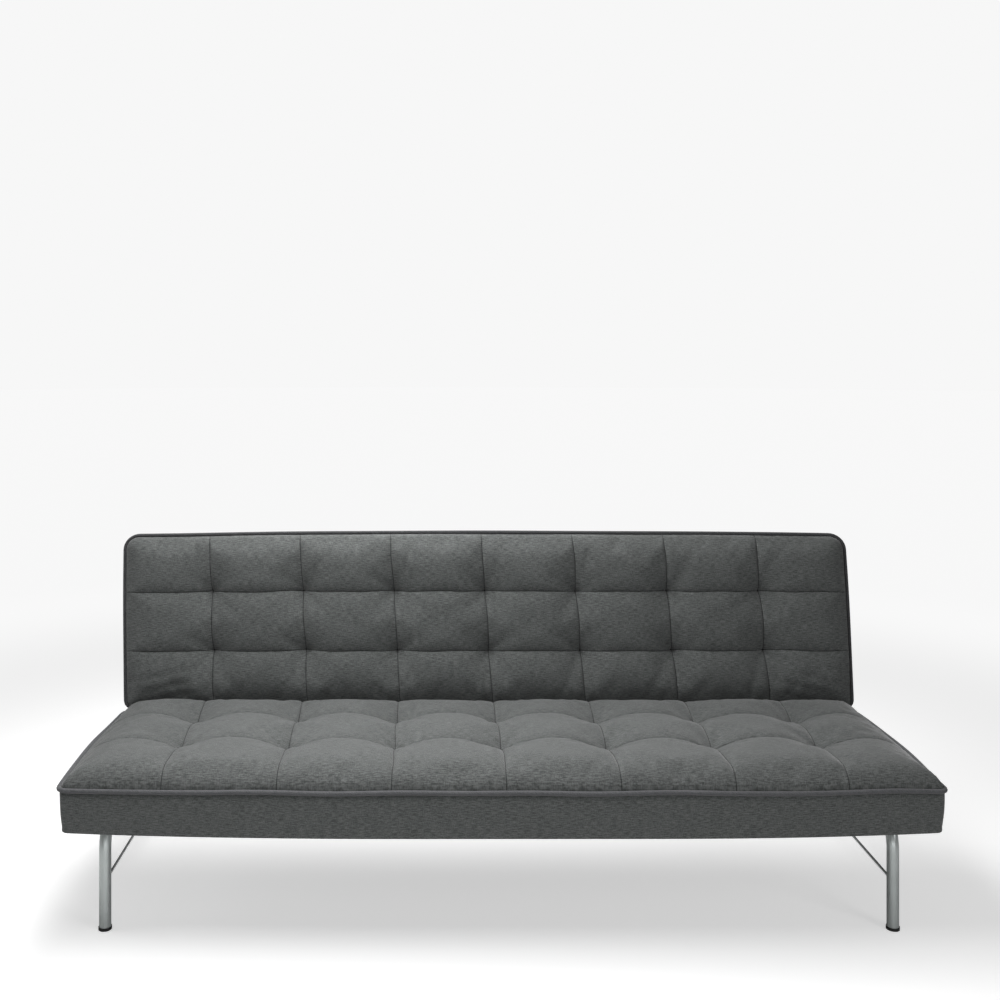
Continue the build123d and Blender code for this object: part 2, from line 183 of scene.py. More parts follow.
@dataclass
class Pad:
    """One upholstered pad: its own axes, its size, and how its stuffing bends it.

    x runs along the sofa, y from the low or front side to the high or rear one, z out of the tufted face.
    """

    name: str
    matrix: Matrix
    width: float
    length: float
    depth: float
    rear_sign: int  # side of y where the two pads meet
    low_corner: float
    high_corner: float
    tuft_reach: float
    end_shoulder: float  # widths over which the face rises: at the ends, the free side and the joined side
    free_shoulder: float
    joined_shoulder: float
    firm_ends: float  # 1 where the ends rise as steeply as the joined side
    end_fold: float
    low_bow: float  # how far the long sides bow out in the middle
    high_bow: float
    belly: float
    top_flare: float  # how far the upper corners spread, and the whole top shifts
    top_shift: float
    seam_shift: float
    seam_skew: float
    band_taper: float
    recess: float
    sag: float
    piping_swell: float  # share by which the piping is thicker where it is free


def seat_pad_frame():
    """The seat pad, with its plane level at the piping."""
    low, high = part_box("seat_band")
    middle = Vector((0, (low[1] + high[1]) / 2, high[2] + PIPING_RADIUS))
    return Pad(
        name="seat",
        matrix=Matrix.Translation(middle),
        width=high[0] - low[0],
        length=high[1] - low[1],
        depth=high[2] + PIPING_RADIUS - low[2],
        rear_sign=1,
        low_corner=0.022,
        high_corner=0.022,
        tuft_reach=0.125,
        end_shoulder=0.10,
        free_shoulder=0.046,
        joined_shoulder=0.060,
        firm_ends=1,
        end_fold=0.0,
        low_bow=0.013,
        high_bow=0.0,
        belly=0.011,
        top_flare=0.0,
        top_shift=0.0,
        seam_shift=0.008,
        seam_skew=0.0,
        band_taper=0.005,
        recess=0.015,
        sag=0.008,
        piping_swell=0.36,
    )


def back_pad_frame():
    """The back pad, with its plane leaning at the piping."""
    low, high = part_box("back_band")
    across, up = high[1] - low[1], high[2] - low[2]
    sine, cosine = math.sin(BACK_LEAN), math.cos(BACK_LEAN)
    length = (up * cosine - across * sine) / (cosine**2 - sine**2)
    band = (across * cosine - up * sine) / (cosine**2 - sine**2)
    along = Vector((0, sine, cosine))
    outward = Vector((0, -cosine, sine))
    corner = Vector((0, low[1], low[2] + band * sine))
    middle = corner + along * (length / 2) + outward * PIPING_RADIUS
    matrix = Matrix((
        (1, along.x, outward.x, middle.x),
        (0, along.y, outward.y, middle.y),
        (0, along.z, outward.z, middle.z),
        (0, 0, 0, 1),
    ))
    return Pad(
        name="back",
        matrix=matrix,
        width=high[0] - low[0],
        length=length,
        depth=band + PIPING_RADIUS,
        rear_sign=-1,
        low_corner=0.020,
        high_corner=0.038,
        tuft_reach=0.100,
        end_shoulder=0.060,
        free_shoulder=0.050,
        joined_shoulder=0.060,
        firm_ends=0,
        end_fold=0.0022,
        low_bow=0.0,
        high_bow=0.009,
        belly=0.002,
        top_flare=0.0105,
        top_shift=0.0085,
        seam_shift=0.0105,
        seam_skew=0.020,
        band_taper=0.0002,
        recess=0.005,
        sag=0.0,
        piping_swell=0.25,
    )


def column_stops(pad, sizes):
    """Where the ends and the column seams of a pad lie."""
    half = pad.width / 2
    inner = half - getattr(sizes, f"{pad.name}_end_column")
    return [-half, *np.linspace(-inner, inner, sizes.columns - 1), half]


def row_stops(pad, sizes):
    """Where the edges and the row seams of a pad lie."""
    half = pad.length / 2
    if pad.name == "seat":
        first = -half + sizes.seat_front_row
        return [-half, first, first + sizes.seat_middle_row, half]
    return list(np.linspace(-half, half, ROWS + 1))


def grid_lines(stops, inset, step):
    """Grid lines between the stops, drawn close together at each seam."""
    lines = []
    clear = SEAM_LINES[-1]
    for index, (low, high) in enumerate(zip(stops[:-1], stops[1:])):
        start = low + (inset if index == 0 else 0)
        end = high - (inset if index == len(stops) - 2 else 0)
        count = max(2, round((end - start - 2 * clear) / step))
        lines.append(start)
        lines.extend(start + gap for gap in SEAM_LINES)
        lines.extend(np.linspace(start + clear, end - clear, count + 1)[1:-1])
        lines.extend(end - gap for gap in reversed(SEAM_LINES))
    lines.append(stops[-1] - inset)
    return np.array(lines)


def coarse_lines(stops, inset, step):
    """Evenly spaced grid lines that keep every stop."""
    ends = [stops[0] + inset, *stops[1:-1], stops[-1] - inset]
    lines = [ends[0]]
    for low, high in zip(ends[:-1], ends[1:]):
        lines.extend(np.linspace(low, high, max(2, round((high - low) / step)) + 1)[1:])
    return np.array(lines)


def round_corners(pad, x, y, inset):
    """Pull the corners of a rectangle in to the pad's rounded outline."""
    half_x, half_y = pad.width / 2 - inset, pad.length / 2 - inset
    radius = np.where(y > 0, pad.high_corner, pad.low_corner) - inset
    s = np.clip((np.abs(x) - (half_x - radius)) / radius, 0, 1)
    t = np.clip((np.abs(y) - (half_y - radius)) / radius, 0, 1)
    both = (s > 0) & (t > 0)
    new_x = np.sign(x) * (half_x - radius + radius * s * np.sqrt(1 - t * t / 2))
    new_y = np.sign(y) * (half_y - radius + radius * t * np.sqrt(1 - s * s / 2))
    return np.where(both, new_x, x), np.where(both, new_y, y)


def edge_distance(pad, x, y, inset):
    """Distance from each point in to the pad's rounded outline."""
    radius = np.where(y > 0, pad.high_corner, pad.low_corner) - inset
    out_x = np.abs(x) - (pad.width / 2 - inset - radius)
    out_y = np.abs(y) - (pad.length / 2 - inset - radius)
    outside = np.hypot(np.maximum(out_x, 0), np.maximum(out_y, 0))
    return np.maximum(radius - outside - np.minimum(np.maximum(out_x, out_y), 0), 0)


def ripples(x, y, seed, wander):
    """Soft irregular undulation made from a few seeded waves."""
    wavelength, amount = wander
    source = random.Random(seed)
    total = np.zeros_like(x)
    waves = 7
    for _ in range(waves):
        angle = source.uniform(0, math.tau)
        phase = source.uniform(0, math.tau)
        scale = math.tau / (wavelength * source.uniform(0.7, 1.6))
        total += np.sin((x * math.cos(angle) + y * math.sin(angle)) * scale + phase)
    return total * amount / math.sqrt(waves)


def bow_edges(pad, x, y):
    """Bend the sewn outline a little, as a stuffed pad bends it."""
    across = 1 - np.clip(2 * np.abs(x) / pad.width, 0, 1) ** 2
    low = np.clip(0.5 - y / pad.length, 0, 1) ** 2
    high = np.clip(0.5 + y / pad.length, 0, 1) ** 2
    new_y = y - pad.low_bow * across * low + pad.high_bow * across * high
    new_y = new_y + ripples(x, y * 0, pad.name, OUTLINE_WANDER)
    ends = np.clip(2 * np.abs(x) / pad.width, 0, 1) ** 6
    pulled_in = 0.001
    new_x = x + np.sign(x) * ends * (pad.belly * (1 - (2 * y / pad.length) ** 2) - pulled_in)
    upper = np.clip(0.5 + y / pad.length, 0, 1)
    new_x = new_x + upper * (pad.top_flare * np.sign(x) * ends - pad.top_shift)
    return new_x, new_y


def tuft_points(pad, sizes):
    """Where the columns and rows cross, with each tuft's own strength and turn."""
    source = random.Random(pad.name + " tufts")
    points = []
    for y in row_stops(pad, sizes)[1:-1]:
        for x in column_stops(pad, sizes)[1:-1]:
            points.append((x, y, source.uniform(0.88, 1.12), source.uniform(0, math.tau)))
    return points


def puffed_height(pad, sizes, x, y, edge):
    """Height of the stuffed face above the piping, before its seams are drawn in."""
    crown = getattr(sizes, f"{pad.name}_crown")
    depth = getattr(sizes, f"{pad.name}_tuft_depth")
    joined_from, joined_blend, end_blend = 0.10, 0.06, 0.12
    joined = np.clip((pad.rear_sign * y - pad.length / 2 + joined_from) / joined_blend, 0, 1)
    from_end = pad.width / 2 - np.abs(x)
    from_side = pad.length / 2 - np.abs(y)
    at_end = np.clip(0.5 + (from_side - from_end) / end_blend, 0, 1)
    shoulder = pad.free_shoulder + (pad.joined_shoulder - pad.free_shoulder) * joined
    shoulder = shoulder + (pad.end_shoulder - shoulder) * at_end
    free_power, firm_power = 0.5, 0.3
    steepness = free_power + firm_power * np.maximum(joined, at_end * pad.firm_ends)
    risen = np.clip(edge / shoulder, 0, 1)
    height = crown * (1 - (1 - risen) ** 2) ** steepness
    height += ripples(x, y, pad.name + " face", FACE_WANDER) * risen
    height += end_folds(pad, x, y)
    dip = np.zeros_like(height)
    for tuft_x, tuft_y, strength, turn in tuft_points(pad, sizes):
        away = np.hypot(x - tuft_x, y - tuft_y)
        around = np.arctan2(y - tuft_y, x - tuft_x)
        pull = depth * strength * np.clip(1 - away / pad.tuft_reach, 0, 1) ** PULL_POWER
        folds = np.cos(5 * around + turn) + 0.6 * np.cos(8 * around + 2 * turn)
        pull += GATHER_HEIGHT * folds * (away / GATHER_REACH) * np.exp(1 - away / GATHER_REACH)
        dip = np.maximum(dip, pull) + np.minimum(dip, pull) * PULL_SHARED
    return height - dip


def end_folds(pad, x, y):
    """Soft slanting folds in the two lower end cells of the back."""
    from_end, from_side, slant, pitch = 0.11, 0.062, 0.22, 0.030
    patch_length, patch_width = 0.075, 0.042
    total = np.zeros_like(x)
    for side in (-1, 1):
        along = side * x - pad.width / 2 + from_end
        up = y + pad.length / 2 - from_side
        patch = np.exp(-((along / patch_length) ** 2) - (up / patch_width) ** 2)
        total += pad.end_fold * patch * np.sin((up + slant * along) * math.tau / pitch + side)
    return total


def seam_crease(pad, sizes, x, y, edge):
    """Depth of the sewn creases along the seams and of the pits at the tufts."""
    column_gap = np.min([np.abs(x - stop) for stop in column_stops(pad, sizes)[1:-1]], axis=0)
    row_gap = np.min([np.abs(y - stop) for stop in row_stops(pad, sizes)[1:-1]], axis=0)
    fade = np.clip(edge / CREASE_FADE, 0, 1)
    (wide, wide_reach), (narrow, narrow_reach), (pit, pit_reach) = WIDE_CREASE, NARROW_CREASE, TUFT_PIT
    depth = np.zeros_like(x)
    for gap in (column_gap, row_gap):
        depth += (wide * np.exp(-gap / wide_reach) + narrow * np.exp(-((gap / narrow_reach) ** 2))) * fade
    for tuft_x, tuft_y, strength, _ in tuft_points(pad, sizes):
        away = np.hypot(x - tuft_x, y - tuft_y)
        depth += pit * strength * np.exp(-away / pit_reach)
    return depth


# ---------------------------------------------------------------- meshes


def make_piece(name, vertices, faces, matrix=None):
    """A smooth mesh object from plain lists, in the sofa's own frame."""
    mesh = bpy.data.meshes.new(name)
    mesh.from_pydata([tuple(v) for v in vertices], [], faces)
    if matrix:
        mesh.transform(matrix)
    mesh.update()
    mesh.shade_smooth()
    piece = bpy.data.objects.new(name, mesh)
    bpy.context.scene.collection.objects.link(piece)
    return piece


def write_uv(piece, layer_name, values):
    """A UV layer from one pair of numbers for each vertex."""
    mesh = piece.data
    layer = mesh.uv_layers.new(name=layer_name)
    corners = np.empty(len(mesh.loops), dtype=np.int32)
    mesh.loops.foreach_get("vertex_index", corners)
    layer.uv.foreach_set("vector", np.asarray(values, dtype=np.float32)[corners].ravel())


def grid_faces(columns, rows):
    """Quads of a grid stored row by row."""
    return [
        (row * columns + c, row * columns + c + 1, (row + 1) * columns + c + 1, (row + 1) * columns + c)
        for row in range(rows - 1)
        for c in range(columns - 1)
    ]


def border_loop(columns, rows):
    """Indices round the edge of a grid, counter-clockwise from its first corner."""
    low = list(range(columns))
    right = [r * columns + columns - 1 for r in range(1, rows)]
    high = [(rows - 1) * columns + c for c in range(columns - 2, -1, -1)]
    left = [r * columns for r in range(rows - 2, 0, -1)]
    return low + right + high + left


def loop_outward(x, y):
    """Unit outward directions of a counter-clockwise loop."""
    along_x = np.roll(x, -1) - np.roll(x, 1)
    along_y = np.roll(y, -1) - np.roll(y, 1)
    length = np.hypot(along_x, along_y)
    return along_y / length, -along_x / length


def loop_run(x, y):
    """Distance run along a loop at each of its points."""
    steps = np.hypot(np.roll(x, -1) - x, np.roll(y, -1) - y)
    return np.concatenate(([0], np.cumsum(steps)[:-1]))


def band_profile(pad):
    """Offset outward and height of each row of the band, from the piping to under the pad."""
    rows = [(0.0006, -0.0045), (0.0014, -0.0065)]
    straight, reach, bulge, top, margins = 10, 0.0028, 0.0022, 0.009, 0.018
    for index in range(straight + 1):
        share = index / straight
        outward = reach + bulge * math.sin(math.pi * share) - pad.band_taper * share
        rows.append((outward, -top - share * (pad.depth - margins)))
    for outward, above in ((0.0030, 0.0045), (0.0028, 0.0022), (0.0020, 0.0013)):
        rows.append((outward - pad.band_taper, -(pad.depth - above)))
    for inward in (0.0090, 0.0300):
        rows.append((-inward, -(pad.depth - 0.0012)))
    return rows


def hinge_recess(pad, x, z):
    """How far the band is tucked in where a hinge passes the pad's corner."""
    inner_gap, outer_gap, inner_blend, blend = 0.0007, 0.003, 0.003, 0.006
    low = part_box("hinge_seat_plate_right")[0][0] + inner_gap
    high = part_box("hinge_back_arm_right")[1][0] + outer_gap
    inside = np.clip((np.abs(x) - low) / inner_blend, 0, 1)
    inside = inside * np.clip((high + blend - np.abs(x)) / blend, 0, 1)
    margin = 0.004
    level = np.clip((-margin - z) / blend, 0, 1) * np.clip((z + pad.depth - margin) / blend, 0, 1)
    return pad.recess * inside * level


def outline_grid(pad, columns, rows, inset):
    """Flat grid of the lines, and the same points pulled in to the rounded outline."""
    flat_x, flat_y = np.meshgrid(columns, rows)
    return flat_x, flat_y, *round_corners(pad, flat_x.ravel(), flat_y.ravel(), inset)


def build_face(pad, sizes, columns, rows):
    """Points of the tufted face, their outline, and their places on the cloth and in the cells."""
    flat_x, flat_y, x, y = outline_grid(pad, columns, rows, FACE_INSET)
    edge = edge_distance(pad, x, y, FACE_INSET)
    z = puffed_height(pad, sizes, x, y, edge) - seam_crease(pad, sizes, x, y, edge)
    drift = pad.seam_shift - pad.seam_skew * (0.5 + y / pad.length)
    drift = drift * (1 - (2 * np.abs(x) / pad.width) ** 4)
    wander = ripples(x, y, pad.name + " seams", SEAM_WANDER) * np.clip(edge / 0.05, 0, 1)
    swell = swollen_by(pad, sizes, flat_x, flat_y)
    points = np.column_stack((x + drift + wander + swell[0], y + wander + swell[1], z + swell[2]))
    cells = np.column_stack((
        np.interp(flat_x.ravel(), column_stops(pad, sizes), range(sizes.columns + 1)),
        np.interp(flat_y.ravel(), row_stops(pad, sizes), range(ROWS + 1)),
    ))
    return points, np.column_stack((x, y)), cells


def band_row(pad, loop_x, loop_y, run, offset, level):
    """One row of points round the band."""
    out_x, out_y = loop_outward(loop_x, loop_y)
    shape = -level * (pad.depth + level) * 4 / pad.depth**2
    swell = ripples(run, run * 0 + level, pad.name + " band", BAND_WANDER) * shape
    row_x = loop_x + out_x * (offset + swell)
    row_y = loop_y + out_y * (offset + swell)
    rear = np.clip(pad.rear_sign * out_y, 0, 1) ** 0.5
    row_y = row_y - pad.rear_sign * rear * hinge_recess(pad, row_x, row_x * 0 + level)
    fallen = -level / pad.depth
    sag = pad.sag * np.clip(fallen, 0, 1) ** 2 * np.clip(-pad.rear_sign * out_y, 0, 1) * (offset > -0.02)
    sag = sag * (1 - (2 * row_x / pad.width) ** 4)
    hem_height, hem_waves, hem_from = 0.0010, 34, 0.75
    hem = hem_height * np.sin(run * hem_waves) * np.clip((fallen - hem_from) * 4, 0, 1)
    row_z = level - sag + np.abs(hem) * (level > -(pad.depth - 0.004))
    return np.column_stack((row_x, row_y, row_z))


def build_pad(pad, sizes):
    """Closed cushion: tufted face, band round its sides and a turned-under edge."""
    columns = grid_lines(column_stops(pad, sizes), FACE_INSET, sizes.grid_step)
    rows = grid_lines(row_stops(pad, sizes), FACE_INSET, sizes.grid_step)
    face, face_cloth, face_cells = build_face(pad, sizes, columns, rows)
    loop = border_loop(len(columns), len(rows))
    loop_x, loop_y = face_cloth[loop].T
    run = loop_run(loop_x, loop_y)
    points, cloth, cells = [face], [face_cloth], [face_cells]
    travel, last = 0.0, (0.0, 0.0)
    for offset, level in band_profile(pad):
        travel += math.hypot(offset - last[0], level - last[1])
        last = (offset, level)
        points.append(band_row(pad, loop_x, loop_y, run, offset, level))
        cloth.append(np.column_stack((run, run * 0 - travel)))
        cells.append(np.full((len(loop), 2), 0.5))
    x, y, z = np.concatenate(points).T
    vertices = np.column_stack((*bow_edges(pad, x, y), z))

    faces = grid_faces(len(columns), len(rows))
    count, previous = len(loop), loop
    for ring in range(len(points) - 1):
        first = len(face) + ring * count
        current = list(range(first, first + count))
        for i in range(count):
            following = (i + 1) % count
            faces.append((previous[i], current[i], current[following], previous[following]))
        previous = current
    faces.append(tuple(reversed(previous)))
    piece = make_piece(f"{pad.name}_pad", vertices, faces)
    write_uv(piece, "cloth", np.concatenate(cloth))
    write_uv(piece, "cells", np.concatenate(cells))
    piece.data.transform(pad.matrix)
    piece.data.update()
    return piece


def swollen_by(pad, sizes, flat_x, flat_y):
    """How far the face swells between its seams, from a coarse copy blown up as cloth."""
    columns = coarse_lines(column_stops(pad, sizes), FACE_INSET, COARSE_STEP)
    rows = coarse_lines(row_stops(pad, sizes), FACE_INSET, COARSE_STEP)
    _, _, x, y = outline_grid(pad, columns, rows, FACE_INSET)
    edge = edge_distance(pad, x, y, FACE_INSET)
    before = np.column_stack((x, y, puffed_height(pad, sizes, x, y, edge)))
    sheet = make_piece("swelling", before, grid_faces(len(columns), len(rows)))
    hold = np.maximum(1 - edge / HOLD_WIDTH, seam_crease(pad, sizes, x, y, edge) / HOLD_CREASE)
    group = sheet.vertex_groups.new(name="hold")
    for index, weight in enumerate(np.clip(hold, 0, 1)):
        group.add([index], float(weight), "REPLACE")
    cloth = sheet.modifiers.new("swell", "CLOTH")
    cloth.settings.quality = 5
    cloth.settings.mass = 0.3
    cloth.settings.tension_stiffness = 12
    cloth.settings.compression_stiffness = 8
    cloth.settings.shear_stiffness = 4
    cloth.settings.bending_stiffness = 0.5
    cloth.settings.shrink_min = -0.012
    cloth.settings.use_pressure = True
    cloth.settings.uniform_pressure_force = 4
    cloth.settings.vertex_group_mass = "hold"
    cloth.settings.effector_weights.gravity = 0
    cloth.collision_settings.use_collision = False
    scene = bpy.context.scene
    for frame_number in range(1, SWELL_FRAMES + 1):
        scene.frame_set(frame_number)
    blown = sheet.evaluated_get(bpy.context.evaluated_depsgraph_get())
    after = np.empty(before.size)
    blown.data.vertices.foreach_get("co", after)
    scene.frame_set(1)
    move = np.nan_to_num(after.reshape(-1, 3) - before)
    length = np.linalg.norm(move, axis=1, keepdims=True)
    move = move * np.minimum(1, SWELL_LIMIT / np.maximum(length, 1e-9))
    move = move.reshape(len(rows), len(columns), 3)
    mesh = sheet.data
    bpy.data.objects.remove(sheet)
    bpy.data.meshes.remove(mesh)
    across = np.array([[np.interp(flat_x[0], columns, line[:, axis]) for line in move] for axis in range(3)])
    return np.stack([
        np.array([np.interp(flat_y[:, 0], rows, column) for column in layer.T]).T.ravel() for layer in across
    ])


def outline_loop(pad, inset):
    """Points round a pad's rounded outline at a near-even step."""
    sizes = bpy.context.scene.sofa_tufting
    columns = grid_lines(column_stops(pad, sizes), inset, OUTLINE_STEP)
    rows = grid_lines(row_stops(pad, sizes), inset, OUTLINE_STEP)
    _, _, x, y = outline_grid(pad, columns, rows, inset)
    loop = border_loop(len(columns), len(rows))
    return x[loop], y[loop]


def build_piping(pad):
    """Covered cord sewn along the edge between face and band."""
    x, y = outline_loop(pad, PIPING_RADIUS)
    out_x, out_y = loop_outward(x, y)
    free = 1 - np.clip(pad.rear_sign * out_y, 0, 1)
    proud = 0.0018
    x, y = x + out_x * proud * free, y + out_y * proud * free
    radius = PIPING_RADIUS * (1 + pad.piping_swell * free)
    run = loop_run(x, y)
    points, cloth = [], []
    lift = ripples(run, run * 0, pad.name + " piping", PIPING_WANDER) * free
    for side in range(CORD_SIDES):
        angle = math.tau * side / CORD_SIDES
        px, py = bow_edges(pad, x + out_x * radius * math.cos(angle), y + out_y * radius * math.cos(angle))
        points.append(np.column_stack((px, py, radius * math.sin(angle) + lift)))
        cloth.append(np.column_stack((run, run * 0 + radius * angle)))
    count = len(run)
    vertices = np.concatenate(points)
    faces = []
    for side in range(CORD_SIDES):
        here, there = side * count, (side + 1) % CORD_SIDES * count
        faces.extend(
            (here + i, here + (i + 1) % count, there + (i + 1) % count, there + i) for i in range(count)
        )
    piece = make_piece(f"{pad.name}_piping_cord", vertices, faces, pad.matrix)
    write_uv(piece, "cloth", np.concatenate(cloth))
    return piece


def build_lining(pad, name):
    """Non-woven sheet stapled across the hard side of a pad."""
    inset, edge_turn, above = 0.016, 0.006, 0.0004
    low_x, high_x = -pad.width / 2 + inset, pad.width / 2 - inset
    low_y, high_y = -pad.length / 2 + inset, pad.length / 2 - inset
    columns = np.linspace(low_x, high_x, 121)
    rows = np.linspace(low_y, high_y, 41)
    flat_x, flat_y = np.meshgrid(columns, rows)
    x, y = flat_x.ravel(), flat_y.ravel()
    edge = np.minimum(high_x - np.abs(x), high_y - np.abs(y))
    inner = np.clip(edge / 0.05, 0, 1)
    slack = ripples(x, y, name, LINING_WANDER) * inner
    pleats = 0.0005 * np.sin((x + y) * 190) * np.exp(-edge / 0.03)
    turned = 0.0004 * np.exp(-(((edge - edge_turn) / 0.003) ** 2))
    z = -pad.depth + above + np.clip(slack * 0.4 + pleats * 0.5, -0.0003, 0.0004) + turned * 0.3
    px, py = bow_edges(pad, x, y)
    vertices = np.column_stack((px, py, z))
    faces = [tuple(reversed(face)) for face in grid_faces(len(columns), len(rows))]
    piece = make_piece(name, vertices, faces, pad.matrix)
    write_uv(piece, "cloth", np.column_stack((x, y)))
    return piece, (high_x - low_x, high_y - low_y)


def build_staples(pad, name):
    """Wire staples round the lining's edge."""
    inset, spacing, wire, length, askew = 0.020, 0.045, 0.0005, 0.010, 0.15
    x, y = outline_loop(pad, inset)
    run = loop_run(x, y)
    vertices, faces = [], []
    source = random.Random(name)
    for index in range(int(run[-1] / spacing)):
        at = int(np.searchsorted(run, index * spacing))
        following = (at + 1) % len(x)
        bx, by = bow_edges(pad, x[at:at + 1], y[at:at + 1])
        along = math.atan2(y[following] - y[at], x[following] - x[at])
        turn = along + source.uniform(-askew, askew)
        base = len(vertices)
        for end in (-1, 1):
            for side_x, side_z in ((-wire, 0), (wire, 0), (wire, -wire), (-wire, -wire)):
                px = bx[0] + math.cos(turn) * end * length / 2 - math.sin(turn) * side_x
                py = by[0] + math.sin(turn) * end * length / 2 + math.cos(turn) * side_x
                vertices.append((px, py, -pad.depth + 0.0002 + side_z))
        for corner in range(4):
            beside = (corner + 1) % 4
            faces.append((base + corner, base + 4 + corner, base + 4 + beside, base + beside))
        faces.extend(((base, base + 1, base + 2, base + 3), (base + 7, base + 6, base + 5, base + 4)))
    return make_piece(name, vertices, faces, pad.matrix)


# ---------------------------------------------------------------- shader groups


def feed(tree, socket, item):
    """Link a socket to another, or set it to a plain number or colour."""
    if isinstance(item, bpy.types.NodeSocket):
        tree.links.new(item, socket)
    elif isinstance(item, (int, float)):
        socket.default_value = item
    else:
        socket.default_value = (*item[:3], 1.0)


def value(tree, operation, first, second=None, clamp=False):
    """A Math node; its inputs are sockets or numbers."""
    node = tree.nodes.new("ShaderNodeMath")
    node.operation = operation
    node.use_clamp = clamp
    feed(tree, node.inputs[0], first)
    if second is not None:
        feed(tree, node.inputs[1], second)
    return node.outputs[0]


def remap(tree, source, low, high, new_low=0.0, new_high=1.0):
    """A smooth Map Range node."""
    node = tree.nodes.new("ShaderNodeMapRange")
    node.interpolation_type = "SMOOTHSTEP"
    tree.links.new(source, node.inputs["Value"])
    for socket, number in (("From Min", low), ("From Max", high), ("To Min", new_low), ("To Max", new_high)):
        feed(tree, node.inputs[socket], number)
    return node.outputs["Result"]


def scaled(tree, vector, scale):
    """A vector multiplied by three numbers."""
    node = tree.nodes.new("ShaderNodeVectorMath")
    node.operation = "MULTIPLY"
    tree.links.new(vector, node.inputs[0])
    node.inputs[1].default_value = scale
    return node.outputs["Vector"]


def parts(tree, vector):
    """The three numbers of a vector, as sockets."""
    node = tree.nodes.new("ShaderNodeSeparateXYZ")
    tree.links.new(vector, node.inputs[0])
    return node.outputs


def noise(tree, vector, scale, detail=2.0, roughness=0.5):
    """A Noise Texture's value."""
    node = tree.nodes.new("ShaderNodeTexNoise")
    node.inputs["Scale"].default_value = scale
    node.inputs["Detail"].default_value = detail
    node.inputs["Roughness"].default_value = roughness
    tree.links.new(vector, node.inputs["Vector"])
    return node.outputs["Fac"]


def start_group(name, inputs, outputs):
    """A new shader group with named sockets, and its two end nodes."""
    group = bpy.data.node_groups.new(name, "ShaderNodeTree")
    for socket_name, kind, default in inputs:
        socket = group.interface.new_socket(socket_name, in_out="INPUT", socket_type=kind)
        if default is not None:
            socket.default_value = default
    for socket_name, kind in outputs:
        group.interface.new_socket(socket_name, in_out="OUTPUT", socket_type=kind)
    return group, group.nodes.new("NodeGroupInput"), group.nodes.new("NodeGroupOutput")


def woven_cloth_group():
    """Plain weave: threads over and under, slubs along both yarns, and a mottled melange."""
    inputs = (("Cloth", "NodeSocketVector", None), ("Thread", "NodeSocketFloat", 0.0009))
    outputs = (("Height", "NodeSocketFloat"), ("Yarn", "NodeSocketFloat"))
    group, start, end = start_group("woven cloth", inputs, outputs)
    cloth, thread = start.outputs["Cloth"], start.outputs["Thread"]
    along, across, _ = parts(group, cloth)
    turns = [value(group, "DIVIDE", value(group, "MULTIPLY", run, math.pi), thread) for run in (along, across)]
    crossing = value(group, "MULTIPLY", *(value(group, "SINE", turn) for turn in turns))
    layers = [
        value(group, "MULTIPLY", noise(group, scaled(group, cloth, scale), 1.0, detail, roughness), weight)
        for scale, detail, roughness, weight in YARN_LAYERS
    ]
    mixed = layers[0]
    for layer in layers[1:]:
        mixed = value(group, "ADD", mixed, layer)
    yarn = remap(group, mixed, 0.37, 0.63)
    ridges = value(group, "MULTIPLY", crossing, 0.25)
    height = value(group, "ADD", ridges, value(group, "MULTIPLY", yarn, 0.75))
    group.links.new(height, end.inputs["Height"])
    group.links.new(yarn, end.inputs["Yarn"])
    return group


def sewn_seam_group():
    """Sewn seams between cells: a narrow join line, which the cloth darkens as painted shade in its crease,
    with small puckers beside it.
    """
    inputs = (
        ("Cells", "NodeSocketVector", None),
        ("Cloth", "NodeSocketVector", None),
        ("Width", "NodeSocketFloat", 0.0016),
    )
    outputs = (("Join", "NodeSocketFloat"), ("Pucker", "NodeSocketFloat"))
    group, start, end = start_group("sewn seam", inputs, outputs)
    cells = parts(group, start.outputs["Cells"])
    cloth = parts(group, start.outputs["Cloth"])
    joins, puckers = [], []
    for index, pitch in enumerate(CELL_PITCH):
        shifted = value(group, "ADD", cells[index], 0.5)
        part = value(group, "FRACT", shifted)
        gap = value(group, "MULTIPLY", value(group, "ABSOLUTE", value(group, "SUBTRACT", part, 0.5)), pitch)
        joins.append(value(group, "SUBTRACT", 1.0, remap(group, gap, 0.0004, start.outputs["Width"])))
        turns = value(group, "MULTIPLY", cloth[1 - index], math.tau / STITCH_LENGTH)
        stitch = value(group, "SINE", turns)
        beside = value(group, "SUBTRACT", 1.0, remap(group, gap, 0.0008, 0.006))
        puckers.append(value(group, "MULTIPLY", stitch, beside))
    group.links.new(value(group, "MAXIMUM", *joins), end.inputs["Join"])
    group.links.new(value(group, "ADD", *puckers), end.inputs["Pucker"])
    return group


def fine_grain_group():
    """Fine surface grain with a broader cloudiness, for paint, plastic and rubber."""
    inputs = (("Place", "NodeSocketVector", None), ("Grain", "NodeSocketFloat", 900.0))
    outputs = (("Height", "NodeSocketFloat"), ("Cloud", "NodeSocketFloat"))
    group, start, end = start_group("fine grain", inputs, outputs)
    fine = group.nodes.new("ShaderNodeTexNoise")
    fine.inputs["Detail"].default_value = 3.0
    group.links.new(start.outputs["Place"], fine.inputs["Vector"])
    group.links.new(start.outputs["Grain"], fine.inputs["Scale"])
    cloud = noise(group, start.outputs["Place"], 14.0, 4.0, 0.6)
    group.links.new(fine.outputs["Fac"], end.inputs["Height"])
    group.links.new(cloud, end.inputs["Cloud"])
    return group


